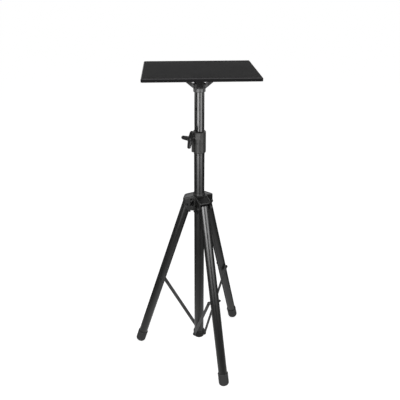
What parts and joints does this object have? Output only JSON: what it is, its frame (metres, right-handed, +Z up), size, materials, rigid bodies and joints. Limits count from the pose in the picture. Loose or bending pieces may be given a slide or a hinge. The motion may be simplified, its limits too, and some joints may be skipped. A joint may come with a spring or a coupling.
{
  "type": "portable projector stand",
  "caption": "Folding tripod stand with a telescopic column and a flat rectangular tray on top, for a projector.",
  "frame": {"origin": "on the floor under the column's axis", "axes": "+Z up along the column, +X along the tray's long side, -Y towards the tray's front"},
  "size_m": [0.455, 0.4643, 1.157],
  "materials": {
    "tray": "matte black coating on board",
    "black_tube": "semi-gloss black powder coat on steel tube",
    "strut_steel": "satin dark grey paint on flat steel",
    "moulded_plastic": "satin dark grey moulded plastic",
    "knob_plastic": "satin black moulded plastic",
    "foot_rubber": "dark grey rubber",
    "plain_steel": "bright zinc plate",
    "black_fastener": "black oxide steel"
  },
  "bodies": {
    "pole": {"column_tube": "black_tube", "height_collar": "moulded_plastic", "lower_hub": "moulded_plastic", "hub_bolt_1": "black_fastener", "hub_bolt_2": "black_fastener", "hub_bolt_3": "black_fastener"},
    "clamp_knob": {"knob_wing": "knob_plastic", "knob_screw": "plain_steel"},
    "mast": {"mast_tube": "black_tube", "tray_bracket": "moulded_plastic", "tray_board": "tray", "bracket_screw_1": "black_fastener", "bracket_screw_2": "black_fastener", "bracket_screw_3": "black_fastener", "bracket_screw_4": "black_fastener"},
    "fork": {"yoke": "moulded_plastic", "yoke_bush": "moulded_plastic", "lock_knob": "knob_plastic", "lock_screw": "plain_steel", "pivot_bolt_1": "black_fastener", "pivot_bolt_2": "black_fastener", "pivot_bolt_3": "black_fastener"},
    "leg_1": {"leg_tube_1": "black_tube", "leg_plug_1": "moulded_plastic", "foot_1": "foot_rubber", "strut_bolt_1": "black_fastener"},
    "brace_1": {"strut_1": "strut_steel", "strut_rivet_1": "black_fastener"},
    "leg_2": {"leg_tube_2": "black_tube", "leg_plug_2": "moulded_plastic", "foot_2": "foot_rubber", "strut_bolt_2": "black_fastener"},
    "brace_2": {"strut_2": "strut_steel", "strut_rivet_2": "black_fastener"},
    "leg_3": {"leg_tube_3": "black_tube", "leg_plug_3": "moulded_plastic", "foot_3": "foot_rubber", "strut_bolt_3": "black_fastener"},
    "brace_3": {"strut_3": "strut_steel", "strut_rivet_3": "black_fastener"}
  },
  "joints": [
    {"name": "mast_slide", "type": "slide", "parent": "pole", "child": "mast", "axis": [0, 0, 1], "range_m": [-0.133, 0.3]},
    {"name": "knob_turn", "type": "hinge", "parent": "pole", "child": "clamp_knob", "pos_m": [0, 0, 0.925], "axis": [-0.6884, -0.7254, 0], "continuous": true},
    {"name": "yoke_slide", "type": "slide", "parent": "pole", "child": "fork", "axis": [0, 0, 1], "range_m": [0, 0.05266]},
    {"name": "leg_fold_1", "type": "hinge", "parent": "fork", "child": "leg_1", "pos_m": [0.01498, -0.04349, 0.662], "axis": [0.9455, 0.3256, 0], "range_deg": [0, 16.5]},
    {"name": "brace_fold_1", "type": "hinge", "parent": "pole", "child": "brace_1", "pos_m": [0.00228, -0.00662, 0.068], "axis": [-0.9455, -0.3256, 0], "range_deg": [0, 21.3]},
    {"name": "leg_fold_2", "type": "hinge", "parent": "fork", "child": "leg_2", "pos_m": [0.03018, 0.03472, 0.662], "axis": [-0.7547, 0.6561, 0], "range_deg": [0, 16.5]},
    {"name": "brace_fold_2", "type": "hinge", "parent": "pole", "child": "brace_2", "pos_m": [0.00459, 0.00528, 0.068], "axis": [0.7547, -0.6561, 0], "range_deg": [0, 21.3]},
    {"name": "leg_fold_3", "type": "hinge", "parent": "fork", "child": "leg_3", "pos_m": [-0.04516, 0.00878, 0.662], "axis": [-0.1908, -0.9816, 0], "range_deg": [0, 16.5]},
    {"name": "brace_fold_3", "type": "hinge", "parent": "pole", "child": "brace_3", "pos_m": [-0.00687, 0.00134, 0.068], "axis": [0.1908, 0.9816, 0], "range_deg": [0, 21.3]}
  ],
  "couplings": [
    {"joint": "leg_fold_1", "follows": "yoke_slide", "rad_per_m": 5.4687},
    {"joint": "brace_fold_1", "follows": "yoke_slide", "rad_per_m": 7.0599},
    {"joint": "leg_fold_2", "follows": "yoke_slide", "rad_per_m": 5.4687},
    {"joint": "brace_fold_2", "follows": "yoke_slide", "rad_per_m": 7.0599},
    {"joint": "leg_fold_3", "follows": "yoke_slide", "rad_per_m": 5.4687},
    {"joint": "brace_fold_3", "follows": "yoke_slide", "rad_per_m": 7.0599}
  ]
}
